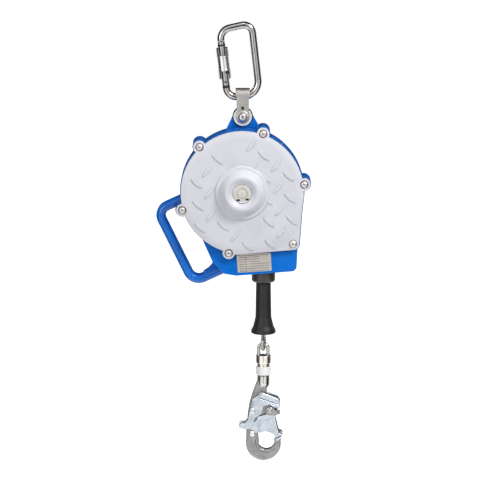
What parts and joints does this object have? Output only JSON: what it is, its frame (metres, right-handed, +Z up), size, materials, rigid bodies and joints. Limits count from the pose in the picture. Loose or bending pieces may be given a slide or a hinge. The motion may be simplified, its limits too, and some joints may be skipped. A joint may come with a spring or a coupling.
{
  "type": "self retracting lifeline",
  "caption": "Fall arrest block hung from a twist-lock carabiner: spring wound drum of wire rope in a round housing with a side handle, and a swivel snap hook on the rope.",
  "frame": {"origin": "bearing point at the top of the carabiner's inside, which the block hangs from", "axes": "+Z up, front cover towards -Y, carry handle towards -X"},
  "size_m": [0.2268, 0.096, 0.65],
  "materials": {
    "blue_paint": "glossy blue powder coat on cast aluminium",
    "grey_paint": "fine satin light grey coat on cast aluminium",
    "polished_steel": "polished steel",
    "satin_steel": "satin stainless steel",
    "forged_steel": "bead blasted forged steel",
    "zinc_plate": "bright zinc plating on stamped steel",
    "screw_steel": "plain stainless",
    "dark_steel": "oiled dark steel",
    "drum_alloy": "machined aluminium",
    "wire_rope": "bright stranded wire",
    "bronze": "oiled sintered bronze",
    "lining": "pressed friction material",
    "black_rubber": "matte moulded rubber",
    "nozzle_plastic": "dark moulded nylon",
    "nickel": "warm satin nickel",
    "white_band": "white moulded ring",
    "cream_plug": "pale translucent plug"
  },
  "bodies": {
    "carabiner": {"carabiner_body": "polished_steel", "carabiner_gate_pin": "dark_steel"},
    "carabiner_gate": {"carabiner_gate": "polished_steel"},
    "carabiner_sleeve": {"carabiner_sleeve": "satin_steel"},
    "anchor": {"anchor_strap": "satin_steel", "pivot_bolt": "screw_steel", "pivot_nut": "screw_steel"},
    "housing": {"main_housing": "blue_paint", "lug_bushes": "satin_steel", "front_cover": "grey_paint", "cover_gasket": "black_rubber", "cover_screws": "screw_steel", "hub_plug": "cream_plug", "main_shaft": "screw_steel", "shaft_nut": "screw_steel", "ratchet_ring": "dark_steel", "brake_linings": "lining", "clamp_ring": "dark_steel", "clamp_screws": "screw_steel", "rope_nozzle": "nozzle_plastic", "rope_lead": "wire_rope"},
    "drum": {"drum": "drum_alloy", "drum_bushes": "bronze", "rope_coil": "wire_rope", "spring_case": "drum_alloy", "spring_case_lid": "drum_alloy", "power_spring": "dark_steel", "pawl_pins": "screw_steel", "pawl_springs": "screw_steel"},
    "pawl_a": {"pawl_a": "dark_steel"},
    "pawl_b": {"pawl_b": "dark_steel"},
    "lifeline": {"rope_line": "wire_rope", "rope_grip": "black_rubber", "rope_ferrule": "drum_alloy", "rope_eye": "wire_rope", "thimble": "satin_steel"},
    "swivel_eye": {"swivel_eye": "satin_steel", "swivel_collar": "nickel", "indicator_band": "white_band"},
    "hook": {"swivel_washer": "bronze", "hook_body": "forged_steel", "gate_rivet": "screw_steel", "lock_rivet": "screw_steel", "spring_rivet": "screw_steel", "hook_gate_spring": "screw_steel", "hook_lock_spring": "screw_steel"},
    "hook_gate": {"hook_gate": "zinc_plate"},
    "hook_lock": {"hook_lock": "zinc_plate"}
  },
  "joints": [
    {"name": "carabiner_gate_hinge", "type": "hinge", "parent": "carabiner", "child": "carabiner_gate", "pos_m": [-0.02627, 0, -0.07756], "axis": [0, 1, 0], "range_deg": [0, 25], "stiffness_Nm_per_rad": 0.1, "springref_deg": -20.05},
    {"name": "carabiner_sleeve_twist", "type": "hinge", "parent": "carabiner_gate", "child": "carabiner_sleeve", "pos_m": [-0.02627, 0, -0.07756], "axis": [-0.1132, 0, 0.9936], "range_deg": [0, 90], "stiffness_Nm_per_rad": 0.01, "springref_deg": -22.92},
    {"name": "strap_swing", "type": "hinge", "parent": "carabiner", "child": "anchor", "pos_m": [-0.0015, 0, -0.09699], "axis": [1, 0, 0], "range_deg": [-45, 45]},
    {"name": "housing_swing", "type": "hinge", "parent": "anchor", "child": "housing", "pos_m": [-0.0015, 0, -0.12798], "axis": [0, 1, 0], "range_deg": [-30, 30]},
    {"name": "lifeline_pull", "type": "slide", "parent": "housing", "child": "lifeline", "axis": [0, 0, -1], "range_m": [0, 0.3916], "stiffness_N_per_m": 20, "springref_m": -1, "deforming": ["rope_line"]},
    {"name": "drum_turn", "type": "hinge", "parent": "housing", "child": "drum", "pos_m": [-0.00221, 0, -0.23617], "axis": [0, 1, 0], "range_deg": [0, 300]},
    {"name": "pawl_a_swing", "type": "hinge", "parent": "drum", "child": "pawl_a", "pos_m": [-0.00567, -0.027, -0.19231], "axis": [0, -1, 0], "range_deg": [0, 10], "stiffness_Nm_per_rad": 0.01, "springref_deg": -28.65},
    {"name": "pawl_b_swing", "type": "hinge", "parent": "drum", "child": "pawl_b", "pos_m": [0.00124, -0.027, -0.28004], "axis": [0, -1, 0], "range_deg": [0, 10], "stiffness_Nm_per_rad": 0.01, "springref_deg": -28.65},
    {"name": "swivel_swing", "type": "hinge", "parent": "lifeline", "child": "swivel_eye", "pos_m": [0.029, -0.0045, -0.46597], "axis": [1, 0, 0], "range_deg": [-45, 45]},
    {"name": "hook_spin", "type": "hinge", "parent": "swivel_eye", "child": "hook", "pos_m": [0.029, -0.0045, -0.51177], "axis": [0, 0, 1], "continuous": true},
    {"name": "hook_gate_hinge", "type": "hinge", "parent": "hook", "child": "hook_gate", "pos_m": [0.0389, -0.0045, -0.56417], "axis": [0, 1, 0], "range_deg": [0, 30], "stiffness_Nm_per_rad": 0.2, "springref_deg": -17.19},
    {"name": "hook_lock_hinge", "type": "hinge", "parent": "hook", "child": "hook_lock", "pos_m": [0.0126, -0.0045, -0.56368], "axis": [0, -1, 0], "range_deg": [0, 8], "stiffness_Nm_per_rad": 0.2, "springref_deg": -17.19}
  ],
  "couplings": [
    {"joint": "drum_turn", "follows": "lifeline_pull", "rad_per_m": 13.369}
  ]
}
